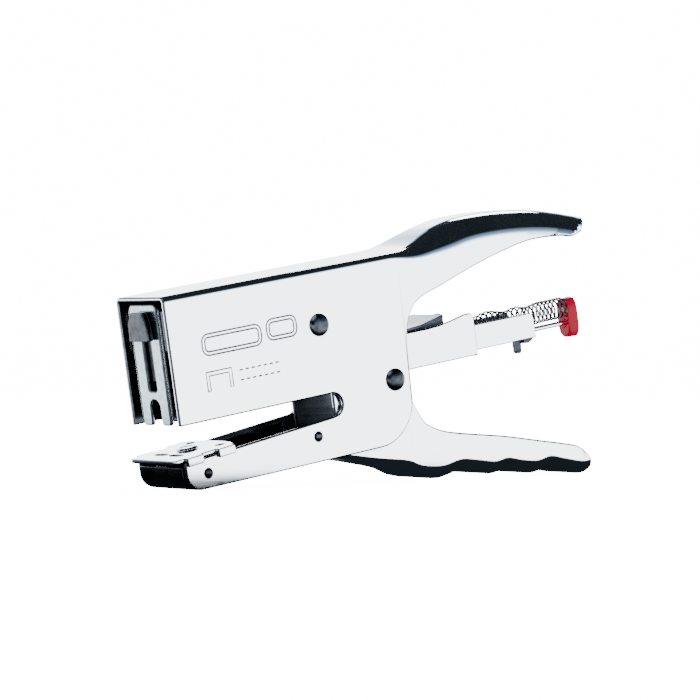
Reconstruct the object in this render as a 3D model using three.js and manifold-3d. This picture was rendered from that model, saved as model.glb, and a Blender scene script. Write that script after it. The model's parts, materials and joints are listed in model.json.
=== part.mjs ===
// Plier stapler: a C-shaped pressed steel housing with its upper handle, a lower handle that
// works as a lever, and a swinging staple magazine with a pull-out feeder.
// Millimetres, +Z up. The parts are drawn in the head's own axes: X runs from the front plate
// to the handles, Y across the 24 mm width, Z up the front plate. The finished group is then
// tipped, so that the stapler stands on its anvil arm and on its lower handle.

import * as THREE from "three";
import { mergeVertices } from "three/addons/utils/BufferGeometryUtils.js";
import { RoundedBoxGeometry } from "three/addons/geometries/RoundedBoxGeometry.js";
import Module from "manifold-3d";

const wasm = await Module();
wasm.setup();

// Driving dimensions
const WIDTH = 24; // outside width of the housing
const SHEET = 1.2; // thickness of the pressed steel
const HEAD_TOP = 36.5; // top of the head above the head's lower edge
const HANDLE_END = 162; // tip of the upper handle
const ARM_BOTTOM = -18.7;
const ARM_FRONT_TOP = -10.3; // upper edge of the anvil arm at its front
const ARM_SLOPE = 0.07; // rise of that edge for each millimetre towards the rear
const THROAT_END = { x: 53.3, z: -3.3, radius: 3.3 };
const PIVOT = { x: 76.5, z: 0 };
const STOP = { x: 51.9, z: 20.2 };
const ANVIL_PINS = { front: { x: 7.3, z: -14.4 }, rear: { x: 46.5, z: -11.3 } };
const RIVET = { shank: 1.9, hole: 2.05, head: 3.3, dome: 1.4 };
const PIN = { radius: 1, hole: 1.1, dome: 0.35 };
const CLEARANCE = 0.3;
const FIT = 0.1; // radial gap of a piece pressed or turned into another
const LEVER_HALF = WIDTH / 2 - SHEET - CLEARANCE; // outside of the lever's cheeks
const LEVER_INNER = LEVER_HALF - SHEET;
const CHANNEL = { half: 7.7, sheet: 0.8, bottom: 1.2, top: 12.1, front: 3, rear: 112 };
const RAIL = { half: 5.9, sheet: 0.7, bottom: 2.4, top: 10.1, front: 3.2, rear: 136.6 };
const FRONT_PLATE = { front: 0.6, back: 1.8, half: 6.75, top: 34.4, slotHalf: 2 };
const DRIVER = { front: 1.95, back: 2.65, half: 6.3, bottom: 12.4, top: 33 };
const NOSE = { half: 1.6, bottom: 25.9, top: 30.5 };
const BUSH = { inner: 2, outer: 2.6, notch: 2.9 };
const FEEDER = { rodRadius: 0.8, rodZ: 4.1, springZ: 8.3, springRadius: 2.7 };
const KNOB = { front: 152.8, back: 156.8, width: 6.2, height: 12.4, z: 5.6, corner: 1.7 };
const PUSHER = { front: 3.4, length: 11, half: 6.6, low: 3 };
const ANVIL_CHANNEL = { half: WIDTH / 2 - SHEET - FIT, front: -0.6, rear: 50, corner: 5.4 };
const ANVIL = { front: -3, rear: 19.5, thick: 1.2, lift: 0.12, groove: 3, rivet: 9.4 };
const RAIL_RIVETS = [24, 98];
const CLAMP_SPRING = { x: 32, radius: 2.5, wire: 0.4, turns: 3, top: 22.2 };
const STAND_ANGLE = 9.06; // degrees between the head's lower edge and the table

// Side-view curves of the two handles, as points (x, z)
const HANDLE_UNDERSIDE = [
  [83, 12], [84.8, 17.2], [89.2, 21.6], [98.2, 24.3], [111.2, 28],
  [122.6, 30.6], [133.9, 32.3], [145.1, 31.9], [150.6, 31], [156.5, 32.2], [162, 33],
];

const HANDLE_TOP = [
  [80, 36.5], [87, 36.8], [92, 37.8], [98, 39.8], [104, 41.4], [112, 42.6],
  [122, 42.7], [132, 42], [141, 40.7], [149, 38.9], [156, 37], [164, 34.7],
];

const GRIP_TOP = [
  [82, -3], [83.4, -8], [85.9, -13.2], [88.6, -15.9], [94.4, -18.6], [103.6, -21],
  [116.1, -24], [128.6, -27.6], [139.4, -30.7], [143.8, -32.3], [146.9, -34.8], [148.4, -37.6],
  [148, -39.8], [146.2, -41.4],
];

const GRIP_BOTTOM = [
  [54.5, -19.4], [62, -21.5], [70, -24.1], [78.5, -27.2], [84, -30.4], [91, -32.2],
  [98.3, -31.6], [104.5, -33], [111, -34.7], [116, -34.5], [121, -36.1], [127, -37.5],
  [132.5, -37.1], [138, -38.9], [144.5, -41], [148, -41.1], [150.5, -40.6],
];

const STEEL = { color: 0xd9dde0, roughness: 0.16, metalness: 1 };
const DARK_STEEL = { color: 0x8c9398, roughness: 0.28, metalness: 1 };
const RIVET_STEEL = { color: 0x3c4146, roughness: 0.25, metalness: 1 };
const SPRING_STEEL = { color: 0x2b2e31, roughness: 0.35, metalness: 1 };
const RED_PLASTIC = { color: 0xc80f2e, roughness: 0.22, metalness: 0 };

// ---- Solids: joining and cutting -------------------------------------------------------

function toSolid(geometry) {
  const plain = geometry.index ? geometry.toNonIndexed() : geometry.clone();
  plain.deleteAttribute("normal");
  plain.deleteAttribute("uv");
  const merged = mergeVertices(plain, 1e-4);
  return new wasm.Manifold(
    new wasm.Mesh({
      numProp: 3,
      vertProperties: new Float32Array(merged.attributes.position.array),
      triVerts: new Uint32Array(merged.index.array),
    }),
  );
}

function toGeometry(solid) {
  const mesh = solid.getMesh();
  const geometry = new THREE.BufferGeometry();
  geometry.setAttribute("position", new THREE.BufferAttribute(mesh.vertProperties, 3));
  geometry.setIndex(new THREE.BufferAttribute(mesh.triVerts, 1));
  return geometry;
}

function join(first, ...others) {
  return toGeometry(others.reduce((solid, other) => solid.add(toSolid(other)), toSolid(first)));
}

function cut(first, ...others) {
  return toGeometry(others.reduce((solid, other) => solid.subtract(toSolid(other)), toSolid(first)));
}

function common(first, second) {
  return toGeometry(toSolid(first).intersect(toSolid(second)));
}

// ---- Shapes ----------------------------------------------------------------------------

/** A side-view outline (x, z) given thickness from low to high across the width. */
function sideExtrusion(shape, low, high, curveSegments = 8) {
  const options = { depth: high - low, bevelEnabled: false, curveSegments };
  return new THREE.ExtrudeGeometry(shape, options).rotateX(Math.PI / 2).translate(0, high, 0);
}

/** A front-view outline (y, z) given length from low to high along X. */
function frontExtrusion(shape, low, high, curveSegments = 6) {
  const options = { depth: high - low, bevelEnabled: false, curveSegments };
  const geometry = new THREE.ExtrudeGeometry(shape, options);
  return geometry.rotateX(Math.PI / 2).rotateZ(Math.PI / 2).translate(low, 0, 0);
}

/** A plan-view outline (x, y) given height from low to high. */
function planExtrusion(shape, low, high, curveSegments = 8) {
  const options = { depth: high - low, bevelEnabled: false, curveSegments };
  return new THREE.ExtrudeGeometry(shape, options).translate(0, 0, low);
}

function block(x0, x1, y0, y1, z0, z1) {
  const geometry = new THREE.BoxGeometry(x1 - x0, y1 - y0, z1 - z0);
  return geometry.translate((x0 + x1) / 2, (y0 + y1) / 2, (z0 + z1) / 2);
}

/** A cylinder across the width, centred on the middle plane. */
function crossCylinder(centre, radius, halfLength, segments = 20) {
  const geometry = new THREE.CylinderGeometry(radius, radius, 2 * halfLength, segments);
  return geometry.translate(centre.x, 0, centre.z);
}

function crossTube(centre, inner, outer, halfLength) {
  const bore = crossCylinder(centre, inner, halfLength + 1);
  return cut(crossCylinder(centre, outer, halfLength), bore);
}

function polygon(points) {
  return new THREE.Shape(points.map(([x, y]) => new THREE.Vector2(x, y)));
}

function splinePoints(points, count) {
  return new THREE.SplineCurve(points.map(([x, y]) => new THREE.Vector2(x, y))).getPoints(count);
}

function roundedRectangle(y0, y1, z0, z1, radius) {
  const shape = new THREE.Shape();
  shape.absarc(y1 - radius, z1 - radius, radius, 0, Math.PI / 2);
  shape.absarc(y0 + radius, z1 - radius, radius, Math.PI / 2, Math.PI);
  shape.absarc(y0 + radius, z0 + radius, radius, Math.PI, 1.5 * Math.PI);
  shape.absarc(y1 - radius, z0 + radius, radius, 1.5 * Math.PI, 2 * Math.PI);
  return shape;
}

/** A closed skin over rings of equal length, with the first and last ring capped. */
function loft(rings) {
  const size = rings[0].length;
  const positions = rings.flat().flatMap((p) => [p.x, p.y, p.z]);
  const index = [];
  for (let r = 0; r + 1 < rings.length; r += 1) {
    for (let i = 0; i < size; i += 1) {
      const a = r * size + i;
      const b = r * size + ((i + 1) % size);
      index.push(a, b, b + size, a, b + size, a + size);
    }
  }
  const flat = rings[0].map((p) => new THREE.Vector2(p.y, p.z));
  const last = (rings.length - 1) * size;
  for (const [a, b, c] of THREE.ShapeUtils.triangulateShape(flat, [])) {
    index.push(a, c, b);
    index.push(last + a, last + b, last + c);
  }
  const geometry = new THREE.BufferGeometry();
  geometry.setAttribute("position", new THREE.Float32BufferAttribute(positions, 3));
  geometry.setIndex(index);
  return geometry;
}

/** One section of a folded sheet: a web at height edge with rounded folds, and two flanges.
    The flanges run from the web to height open. side is 1 when they hang down from the web. */
function foldedSection(x, edge, open, half, radius, side) {
  const steps = 4;
  const outline = (outer, fold, web) => {
    const points = [new THREE.Vector3(x, -outer, open)];
    for (let i = 0; i <= steps; i += 1) {
      const angle = (i / steps) * (Math.PI / 2);
      const y = -outer + fold * (1 - Math.cos(angle));
      points.push(new THREE.Vector3(x, y, web - side * fold * (1 - Math.sin(angle))));
    }
    const mirrored = points.map((p) => new THREE.Vector3(p.x, -p.y, p.z)).reverse();
    return points.concat(mirrored);
  };
  const outside = outline(half, radius, edge);
  const inside = outline(half - SHEET, Math.max(radius - SHEET, 0.4), edge - side * SHEET);
  const ring = outside.concat(inside.reverse());
  return side > 0 ? ring.reverse() : ring;
}

/** A round wire along a path. */
function wire(path, radius, steps, sides = 6) {
  const section = new THREE.Shape();
  for (let i = 0; i < sides; i += 1) {
    const angle = (i / sides) * 2 * Math.PI;
    const point = [radius * Math.cos(angle), radius * Math.sin(angle)];
    if (i === 0) section.moveTo(...point);
    else section.lineTo(...point);
  }
  section.closePath();
  return new THREE.ExtrudeGeometry(section, { steps, extrudePath: path, bevelEnabled: false });
}

class Helix extends THREE.Curve {
  /** A coil about the line from start to end. */
  constructor(start, end, radius, turns) {
    super();
    this.start = start;
    this.axis = new THREE.Vector3().subVectors(end, start);
    this.side = new THREE.Vector3(0, 1, 0);
    this.up = new THREE.Vector3().crossVectors(this.side, this.axis).normalize();
    this.radius = radius;
    this.turns = turns;
  }

  getPoint(t, target = new THREE.Vector3()) {
    const angle = 2 * Math.PI * this.turns * t;
    target.copy(this.start).addScaledVector(this.axis, t);
    target.addScaledVector(this.side, this.radius * Math.cos(angle));
    return target.addScaledVector(this.up, this.radius * Math.sin(angle));
  }
}

// ---- Housing: the C frame and the upper handle in one pressing --------------------------

function armEdge(x) {
  return ARM_FRONT_TOP + ARM_SLOPE * x;
}

function housingOutline() {
  const shape = new THREE.Shape();
  const front = { x: 5, z: ARM_BOTTOM + 5 };
  const rear = { x: 68.6, z: ARM_BOTTOM + 13.6, radius: 13.6 };
  shape.moveTo(0, 0);
  shape.lineTo(THROAT_END.x, 0);
  shape.absarc(THROAT_END.x, THROAT_END.z, THROAT_END.radius, Math.PI / 2, -Math.PI / 2, true);
  shape.lineTo(0, armEdge(0));
  shape.absarc(front.x, front.z, front.x, Math.PI, 1.5 * Math.PI);
  shape.absarc(rear.x, rear.z, rear.radius, 1.5 * Math.PI, 2 * Math.PI);
  shape.lineTo(82.5, 6);
  for (const p of splinePoints(HANDLE_UNDERSIDE, 30)) shape.lineTo(p.x, p.y);
  shape.lineTo(HANDLE_END + 8, 33.1);
  shape.lineTo(HANDLE_END + 8, HEAD_TOP + 12);
  shape.lineTo(0, HEAD_TOP + 12);
  return shape;
}

function handlePlan() {
  const shape = new THREE.Shape();
  const endLength = 13;
  shape.moveTo(-1, -WIDTH);
  shape.lineTo(100, -WIDTH);
  shape.lineTo(100, -WIDTH / 2 - 1);
  shape.lineTo(HANDLE_END - endLength, -WIDTH / 2);
  shape.absellipse(HANDLE_END - endLength, 0, endLength, WIDTH / 2, -Math.PI / 2, Math.PI / 2);
  shape.lineTo(100, WIDTH / 2 + 1);
  shape.lineTo(100, WIDTH);
  shape.lineTo(-1, WIDTH);
  return shape;
}

function housing() {
  const foldAt = (x) => THREE.MathUtils.lerp(1.8, 8, THREE.MathUtils.smoothstep(x, 78, 106));
  const top = [new THREE.Vector2(-1, HEAD_TOP), ...splinePoints(HANDLE_TOP, 20)];
  const rings = top.map((p) => foldedSection(p.x, p.y, -30, WIDTH / 2, foldAt(p.x), 1));
  const trough = common(loft(rings), planExtrusion(handlePlan(), -40, 60, 12));
  const body = common(trough, sideExtrusion(housingOutline(), -WIDTH, WIDTH));
  return cut(
    body,
    crossCylinder(PIVOT, RIVET.hole, WIDTH),
    crossCylinder(STOP, RIVET.hole, WIDTH),
    crossCylinder(ANVIL_PINS.front, PIN.hole, WIDTH, 14),
    crossCylinder(ANVIL_PINS.rear, PIN.hole, WIDTH, 14),
  );
}

/** A through rivet with a domed head on each side, turned about the Y axis. */
function rivet(centre, size, halfGrip, steps = 4, segments = 20) {
  const profile = [new THREE.Vector2(0, -halfGrip - size.dome)];
  for (let i = 1; i <= steps; i += 1) {
    const angle = (i / steps) * (Math.PI / 2);
    const y = -halfGrip - size.dome * Math.cos(angle);
    profile.push(new THREE.Vector2(size.head * Math.sin(angle), y));
  }
  profile.push(new THREE.Vector2(size.shank, -halfGrip));
  const mirrored = profile.map((p) => new THREE.Vector2(p.x, -p.y)).reverse();
  const geometry = new THREE.LatheGeometry(profile.concat(mirrored), segments);
  return geometry.translate(centre.x, 0, centre.z);
}

function anvilPin(centre) {
  const size = { head: PIN.radius, shank: PIN.radius - 0.01, dome: PIN.dome };
  return rivet(centre, size, WIDTH / 2, 2, 12);
}

// ---- Anvil arm --------------------------------------------------------------------------

function anvilChannelOutline(inset) {
  const { front, rear } = ANVIL_CHANNEL;
  const radius = ANVIL_CHANNEL.corner - inset;
  const low = ARM_BOTTOM + inset;
  const openTop = inset > 0 ? 10 : 0; // the inner outline runs out through the top
  const shape = new THREE.Shape();
  shape.moveTo(rear + inset, low);
  shape.lineTo(rear + inset, armEdge(rear) - 1 + openTop);
  shape.lineTo(front + inset, armEdge(front) - 1.2 + openTop);
  shape.absarc(front + inset + radius, low + radius, radius, Math.PI, 1.5 * Math.PI);
  return shape;
}

function anvilChannel() {
  const { half } = ANVIL_CHANNEL;
  const outside = sideExtrusion(anvilChannelOutline(0), -half, half);
  const inside = sideExtrusion(anvilChannelOutline(SHEET), -half + SHEET, half - SHEET);
  return cut(
    outside,
    inside,
    crossCylinder(ANVIL_PINS.front, PIN.hole, WIDTH, 14),
    crossCylinder(ANVIL_PINS.rear, PIN.hole, WIDTH, 14),
  );
}

/** The anvil plate is drawn flat at z = 0 and then laid on the arm's sloping edge. */
function layOnArm(geometry) {
  return geometry.rotateY(-Math.atan(ARM_SLOPE)).translate(0, 0, armEdge(0) + ANVIL.lift);
}

function anvilPlate() {
  const half = WIDTH / 2 - 0.6;
  const outline = new THREE.Shape();
  outline.moveTo(ANVIL.front + 1.5, -half);
  outline.lineTo(16.5, -half);
  outline.quadraticCurveTo(19, -half, ANVIL.rear, -4);
  outline.lineTo(ANVIL.rear, 4);
  outline.quadraticCurveTo(19, half, 16.5, half);
  outline.lineTo(ANVIL.front + 1.5, half);
  outline.quadraticCurveTo(ANVIL.front, half, ANVIL.front, half - 1.8);
  outline.lineTo(ANVIL.front, -half + 1.8);
  outline.quadraticCurveTo(ANVIL.front, -half, ANVIL.front + 1.5, -half);
  let plate = planExtrusion(outline, 0, ANVIL.thick, 6);
  for (const side of [-1, 1]) {
    for (const [x0, x1] of [[0.4, 6], [11.2, 17]]) {
      const inner = WIDTH / 2 + FIT;
      const outer = inner + 0.9;
      const low = Math.min(side * inner, side * outer);
      const tab = block(x0, x1, low, low + 0.9, -1.3, ANVIL.thick);
      const root = Math.min(side * (half - 1), side * outer);
      const fold = block(x0, x1, root, root + outer - half + 1, 0, ANVIL.thick);
      plate = join(plate, tab, fold);
    }
    const pocket = new THREE.SphereGeometry(1, 12, 8).scale(1.1, 3.1, 0.75);
    plate = cut(plate, pocket.translate(ANVIL.groove, side * 3.6, ANVIL.thick));
    const notch = new THREE.CylinderGeometry(1.3, 1.3, 4, 14).rotateX(Math.PI / 2);
    plate = cut(plate, notch.translate(15.6, side * 7.4, 0.6));
  }
  const hole = new THREE.CylinderGeometry(1.8, 1.8, 4, 16).rotateX(Math.PI / 2);
  return layOnArm(cut(plate, hole.translate(ANVIL.rivet, 0, 0.6)));
}

function anvilRivet() {
  const profile = [
    [0, -1.1], [2.6, -1.1], [2.6, -0.2], [1.65, -0.2], [1.65, 1.3],
    [3.2, 1.3], [3.1, 1.65], [2.2, 1.95], [1.9, 1.75], [0, 1.75],
  ].map(([x, y]) => new THREE.Vector2(x, y));
  const geometry = new THREE.LatheGeometry(profile, 20).rotateX(Math.PI / 2);
  return layOnArm(geometry.translate(ANVIL.rivet, 0, 0));
}

// ---- Lever: lower handle, its cheeks and its forward arms -------------------------------

function leverOutline() {
  const shape = new THREE.Shape();
  shape.moveTo(3, 32.2);
  for (const p of splinePoints([[14, 31.5], [30, 28], [42, 22.8], [46.8, 18.6], [49.5, 16.9]], 12)) {
    shape.lineTo(p.x, p.y);
  }
  shape.lineTo(60, 16.4);
  shape.lineTo(70, 12);
  shape.absarc(PIVOT.x, PIVOT.z, 5.6, 0.9, 0, true);
  for (const p of splinePoints(GRIP_TOP, 26)) shape.lineTo(p.x, p.y);
  shape.lineTo(146.2, -60);
  shape.lineTo(54.5, -60);
  shape.lineTo(54.5, 5.5);
  shape.lineTo(50, 8.5);
  shape.lineTo(20, 17);
  shape.lineTo(3, 20.5);
  return shape;
}

function lowerHandle() {
  const foldAt = (x) => THREE.MathUtils.lerp(1.6, 4, THREE.MathUtils.smoothstep(x, 62, 92));
  const profile = splinePoints(GRIP_BOTTOM, 32);
  const rings = profile.map((p) => foldedSection(p.x, p.y, 60, LEVER_HALF, foldAt(p.x), -1));
  const outline = sideExtrusion(leverOutline(), -WIDTH, WIDTH);
  const grip = common(loft(rings), outline);
  const armZone = block(0, 60, -WIDTH, WIDTH, 2, 40);
  const arms = common(outline, armZone);
  const hollow = block(-1, 61, -LEVER_INNER, LEVER_INNER, 0, 41);
  const sides = block(-1, 61, -LEVER_HALF, LEVER_HALF, 0, 41);
  const cheeks = cut(common(arms, sides), hollow);
  const lever = join(grip, cheeks, leverBridge());
  return cut(lever, crossCylinder(PIVOT, BUSH.outer + FIT, WIDTH));
}

/** The web between the forward arms, its tongue and the neck that carries the nose cap. */
function leverBridge() {
  const half = SHEET / 2 + 0.1;
  const overlap = LEVER_INNER + 0.4;
  const web = polygon([[40, 21.5 - half], [40, 21.5 + half], [14, 29 + half], [14, 29 - half]]);
  const tongue = block(7.4, 15, -5.4, 5.4, NOSE.bottom + 1.6, NOSE.top - 0.3);
  const neck = block(-0.4, 8, -NOSE.half, NOSE.half, NOSE.bottom, NOSE.top);
  return join(sideExtrusion(web, -overlap, overlap), tongue, neck);
}

function noseCap() {
  const face = polygon([[-4.8, 24.2], [4.8, 24.2], [4.4, 29], [3, 32.4], [-3, 32.4], [-4.4, 29]]);
  const shell = frontExtrusion(face, -1.9, 0.2);
  const half = NOSE.half + FIT;
  return cut(shell, block(-0.4 - FIT, 1, -half, half, NOSE.bottom - FIT, NOSE.top + FIT));
}

/** One bent wire: two coils on the stop bush, rear legs hooked under the pivot bush and a
    front bar under the lever's bridge. */
function returnSpring() {
  const radius = 0.55;
  const coil = 3.9;
  const turns = 3;
  const outer = 8.4;
  const pitch = 1.2;
  const points = [];
  const start = THREE.MathUtils.degToRad(230.6);
  const sweep = turns * 2 * Math.PI - THREE.MathUtils.degToRad(22.4);
  points.push(new THREE.Vector3(77.5, outer, -5.1));
  points.push(new THREE.Vector3(68, outer, 2.44));
  points.push(new THREE.Vector3(58, outer, 10.4));
  const coilSteps = 14 * turns;
  for (let i = 0; i <= coilSteps; i += 1) {
    const angle = start - (sweep * i) / coilSteps;
    const y = outer - (pitch * turns * i) / coilSteps;
    const x = STOP.x + coil * Math.cos(angle);
    points.push(new THREE.Vector3(x, y, STOP.z + coil * Math.sin(angle)));
  }
  const inner = outer - pitch * turns;
  points.push(new THREE.Vector3(42, inner, 19.16));
  points.push(new THREE.Vector3(32, inner, 22.24));
  points.push(new THREE.Vector3(25.2, inner - 0.1, 24.3));
  points.push(new THREE.Vector3(24, inner - 1.3, 24.7));
  const mirrored = points.map((p) => new THREE.Vector3(p.x, -p.y, p.z)).reverse();
  const path = new THREE.CatmullRomCurve3(points.concat(mirrored), false, "centripetal");
  return wire(path, radius, 160, 5);
}

// ---- Magazine ---------------------------------------------------------------------------

function channelWallOutline() {
  const { bottom, top, rear } = CHANNEL;
  return polygon([
    [0.9, bottom], [rear - 1.3, bottom], [rear - 0.4, bottom + 0.4], [rear, bottom + 1.3],
    [rear, top + 0.4], [rear - 0.4, top + 1.5], [rear - 1.4, top + 2], [rear - 4, top + 1.9],
    [rear - 8, top + 1.1], [rear - 13, top + 0.3], [rear - 18, top], [11, top], [8.6, 15],
    [8.6, 31], [6.6, 33], [0.9, 33],
  ]);
}

function magazineChannel() {
  const { half, sheet, bottom, front, rear } = CHANNEL;
  const near = sideExtrusion(channelWallOutline(), -half, -half + sheet);
  const far = sideExtrusion(channelWallOutline(), half - sheet, half);
  const web = block(front, rear - 0.6, -half + 0.2, half - 0.2, bottom, bottom + sheet);
  const channel = join(near, far, web);
  const rivetHoles = RAIL_RIVETS.map((x) => uprightCylinder(x, 0, 1.3, 0, 4));
  return cut(channel, crossCylinder(PIVOT, BUSH.notch, WIDTH), ...rivetHoles);
}

function uprightCylinder(x, y, radius, low, high, segments = 14) {
  const geometry = new THREE.CylinderGeometry(radius, radius, high - low, segments);
  return geometry.rotateX(Math.PI / 2).translate(x, y, (low + high) / 2);
}

function railRivet(x) {
  const low = CHANNEL.bottom + FIT;
  const seat = RAIL.bottom + RAIL.sheet + 0.05;
  const head = uprightCylinder(x, 0, 2, seat, seat + 0.1, 14);
  return join(uprightCylinder(x, 0, 1.2, low, seat + 0.05), head);
}

/** The open rail that carries the staples, with a rear slot for the feeder's catch. */
function stapleRail() {
  const { half, sheet, bottom, top, front, rear } = RAIL;
  const wall = new THREE.Shape();
  wall.moveTo(front, bottom);
  wall.lineTo(rear, bottom);
  wall.lineTo(rear - 0.3, top - 1.6);
  wall.quadraticCurveTo(rear - 0.4, top, rear - 2, top);
  wall.lineTo(front, top);
  const outside = sideExtrusion(wall, -half, half, 5);
  const inside = block(front - 1, rear + 1, -half + sheet, half - sheet, bottom + sheet, top + 1);
  const slot = block(130.8, rear + 1, -3, 3, bottom - 1, bottom + sheet + 1);
  const rivetHoles = RAIL_RIVETS.map((x) => uprightCylinder(x, 0, 1.3, 0, 4));
  return cut(outside, inside, slot, crossCylinder(PIVOT, BUSH.notch, WIDTH), ...rivetHoles);
}

function frontPlate() {
  const { front, back, half, top, slotHalf } = FRONT_PLATE;
  const face = new THREE.Shape();
  face.moveTo(-half, 0.6);
  face.lineTo(-half, top - 1);
  face.lineTo(-half + 1, top);
  face.lineTo(half - 1, top);
  face.lineTo(half, top - 1);
  face.lineTo(half, 0.6);
  face.lineTo(half - 0.6, 0);
  face.lineTo(2.9, 0);
  face.lineTo(2.3, 0.8);
  face.absarc(0, 5, 2.3, 0, Math.PI);
  face.lineTo(-2.3, 0.8);
  face.lineTo(-2.9, 0);
  face.lineTo(-half + 0.6, 0);
  face.holes.push(roundedRectangle(-slotHalf, slotHalf, 9.8, 31.5, 0.8));
  return frontExtrusion(face, front, back, 5);
}

/** The spring cover over the staples. Its tail is bent up behind the housing. */
function magazineCover() {
  const low = CHANNEL.top + CLEARANCE;
  const band = polygon([
    [12, low], [85, low], [92, low + 0.4], [100.6, low + 1.9], [100.6, low + 2.9],
    [92, low + 1.2], [85, low + 0.8], [12, low + 0.8],
  ]);
  return sideExtrusion(band, -CHANNEL.half + 0.1, CHANNEL.half - 0.1);
}

function clampSpring() {
  const { x, radius, turns, top } = CLAMP_SPRING;
  const start = new THREE.Vector3(x, 0, CHANNEL.top + CLEARANCE + 1.3);
  const end = new THREE.Vector3(x, 0, top);
  return wire(new Helix(start, end, radius, turns), CLAMP_SPRING.wire, turns * 10, 4);
}

function driverBlade() {
  const { front, back, half, bottom, top } = DRIVER;
  const blade = block(front, back, -half, half, bottom, top);
  const window = block(front - 1, back + 1, -2.1, 2.1, 25.2, 31.2);
  return cut(blade, window);
}

// ---- Feeder: knob, rod, catch, spring and pusher ----------------------------------------

function lengthwiseCylinder(x0, x1, z, radius, segments = 12) {
  const geometry = new THREE.CylinderGeometry(radius, radius, x1 - x0, segments);
  return geometry.rotateZ(Math.PI / 2).translate((x0 + x1) / 2, 0, z);
}

function feederRod() {
  return lengthwiseCylinder(60, KNOB.front + 3, FEEDER.rodZ, FEEDER.rodRadius);
}

function feederKnob() {
  const { front, back, width, height, z, corner } = KNOB;
  const knob = new RoundedBoxGeometry(back - front, width, height, 3, corner);
  knob.translate((front + back) / 2, 0, z);
  const bore = lengthwiseCylinder(front - 1, front + 3.1, FEEDER.rodZ, FEEDER.rodRadius + FIT);
  return cut(knob, bore);
}

function feederSpring() {
  const turns = 28;
  const wireRadius = 0.3;
  const start = new THREE.Vector3(PUSHER.front + PUSHER.length + 0.6, 0, FEEDER.springZ);
  const end = new THREE.Vector3(KNOB.front - 0.6, 0, FEEDER.springZ);
  return wire(new Helix(start, end, FEEDER.springRadius, turns), wireRadius, turns * 8, 4);
}

/** The bent catch under the rail that hooks the feeder in. */
function rodCatch() {
  const lug = new THREE.Shape();
  lug.moveTo(134.6, 4.4);
  lug.lineTo(134.6, 0.8);
  lug.quadraticCurveTo(137.6, 0.2, 138.6, 2.4);
  lug.lineTo(138.6, 4.4);
  const finger = new THREE.Shape();
  finger.moveTo(132.4, 4.4);
  finger.lineTo(132.4, -1.2);
  finger.absarc(133.3, -1.2, 0.9, Math.PI, 2 * Math.PI);
  finger.lineTo(134.8, 4.4);
  const piece = join(sideExtrusion(lug, -2.2, 2.2), sideExtrusion(finger, -1, 1, 6));
  return cut(piece, lengthwiseCylinder(130, 142, FEEDER.rodZ, FEEDER.rodRadius + FIT));
}

function pusher() {
  const { front, length, half, low } = PUSHER;
  const rear = front + length;
  const top = CHANNEL.top - 0.4;
  const crown = block(front, rear, -half, half, RAIL.top + 0.2, top);
  const core = block(front, rear, -4.7, 4.7, 5.2, RAIL.top + 0.4);
  const near = block(front, rear, -half, -RAIL.half - 0.2, low, top);
  const far = block(front, rear, RAIL.half + 0.2, half, low, top);
  return join(crown, core, near, far);
}

// ---- Assembly ---------------------------------------------------------------------------

const stapler = new THREE.Group();

function addPart(name, geometry, finish) {
  const mesh = new THREE.Mesh(geometry, new THREE.MeshStandardMaterial(finish));
  mesh.name = name;
  stapler.add(mesh);
}

addPart("housing", housing(), STEEL);
addPart("anvil_channel", anvilChannel(), DARK_STEEL);
addPart("anvil_plate", anvilPlate(), STEEL);
addPart("anvil_rivet", anvilRivet(), STEEL);
addPart("anvil_pin_front", anvilPin(ANVIL_PINS.front), RIVET_STEEL);
addPart("anvil_pin_rear", anvilPin(ANVIL_PINS.rear), RIVET_STEEL);
addPart("pivot_rivet", rivet(PIVOT, RIVET, WIDTH / 2 + 0.05), RIVET_STEEL);
addPart("stop_rivet", rivet(STOP, RIVET, WIDTH / 2 + 0.05), RIVET_STEEL);
addPart("stop_bush", crossTube(STOP, BUSH.inner, 3, WIDTH / 2 - SHEET - FIT), DARK_STEEL);
addPart("return_spring", returnSpring(), SPRING_STEEL);
addPart("lower_handle", lowerHandle(), STEEL);
addPart("pivot_bush", crossTube(PIVOT, BUSH.inner, BUSH.outer, LEVER_HALF), DARK_STEEL);
addPart("nose_cap", noseCap(), DARK_STEEL);
addPart("magazine_channel", magazineChannel(), STEEL);
addPart("front_plate", frontPlate(), STEEL);
addPart("staple_rail", stapleRail(), STEEL);
addPart("rail_rivet_front", railRivet(RAIL_RIVETS[0]), DARK_STEEL);
addPart("rail_rivet_rear", railRivet(RAIL_RIVETS[1]), DARK_STEEL);
addPart("magazine_cover", magazineCover(), DARK_STEEL);
addPart("clamp_spring", clampSpring(), SPRING_STEEL);
addPart("driver_blade", driverBlade(), DARK_STEEL);
addPart("feeder_rod", feederRod(), STEEL);
addPart("feeder_knob", feederKnob(), RED_PLASTIC);
addPart("feeder_spring", feederSpring(), SPRING_STEEL);
addPart("rod_catch", rodCatch(), DARK_STEEL);
addPart("pusher", pusher(), DARK_STEEL);

/** The origin is on the table, below the middle of the standing stapler. */
const group = new THREE.Group();
stapler.rotation.y = THREE.MathUtils.degToRad(-STAND_ANGLE);
group.add(stapler);
group.updateMatrixWorld(true);
const bounds = new THREE.Box3().setFromObject(group, true);
const middle = bounds.getCenter(new THREE.Vector3());
stapler.position.set(-middle.x, 0, -bounds.min.z);

export default group;
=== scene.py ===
import json
import math

import bpy
import bmesh
import numpy as np
from mathutils import Matrix, Vector


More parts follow.
